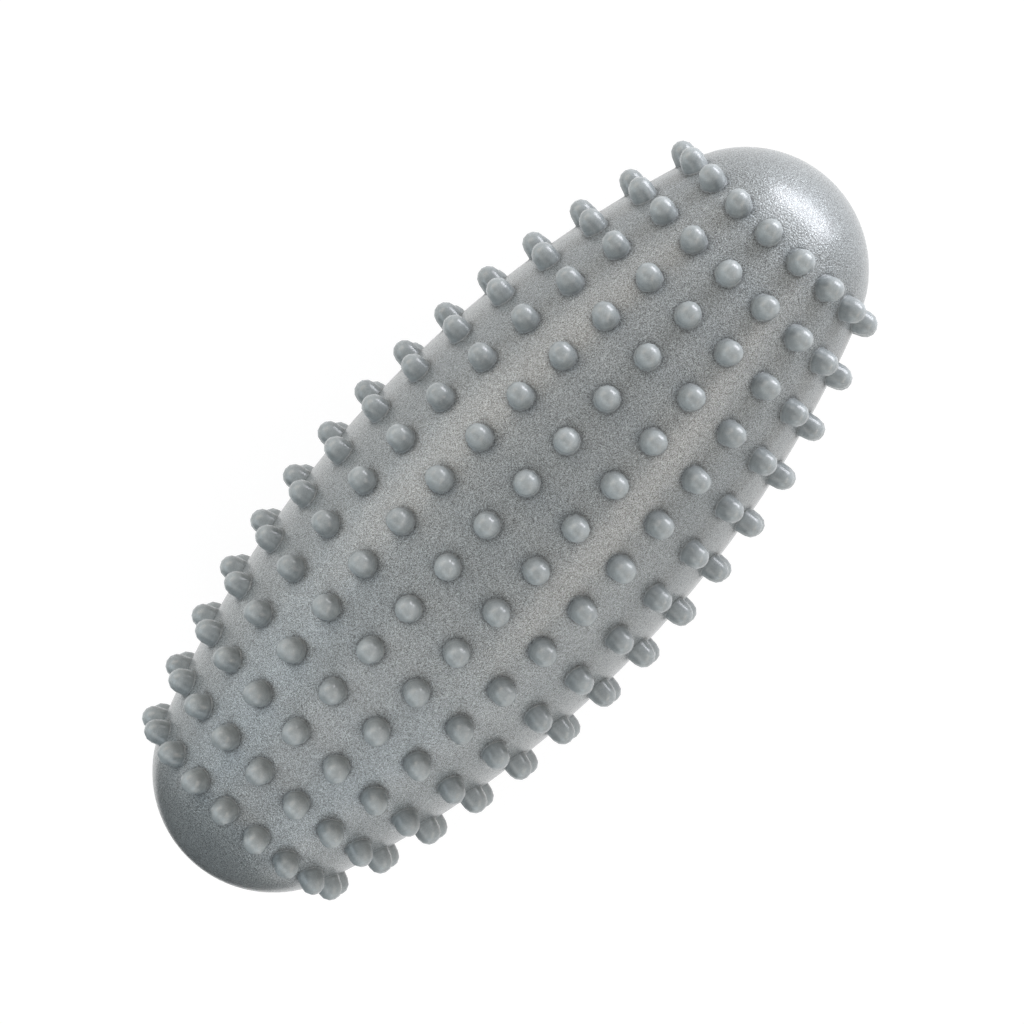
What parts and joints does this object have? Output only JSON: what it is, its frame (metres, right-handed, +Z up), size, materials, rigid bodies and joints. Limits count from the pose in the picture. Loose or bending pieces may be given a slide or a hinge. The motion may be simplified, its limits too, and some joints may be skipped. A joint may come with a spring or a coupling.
{
  "type": "foot massage roller",
  "caption": "Hollow soft vinyl barrel with round domed ends, aligned rings of round-tipped massage nubs, and a recessed needle air valve in the middle of one dome.",
  "frame": {"origin": "on the floor under the middle of the roller, which lies on its two lowest rows of nubs", "axes": "+X along the roller's axis, away from the valve; +Z up"},
  "size_m": [0.1698, 0.0748, 0.0737],
  "materials": {
    "shell": "soft vinyl, silver grey with a fine pearl grain, satin",
    "housing": "firm vinyl, mid grey, matt",
    "core": "black rubber, matt"
  },
  "bodies": {
    "root": {"roller_shell": "shell", "valve_housing": "housing", "valve_core": "core"}
  },
  "joints": []
}
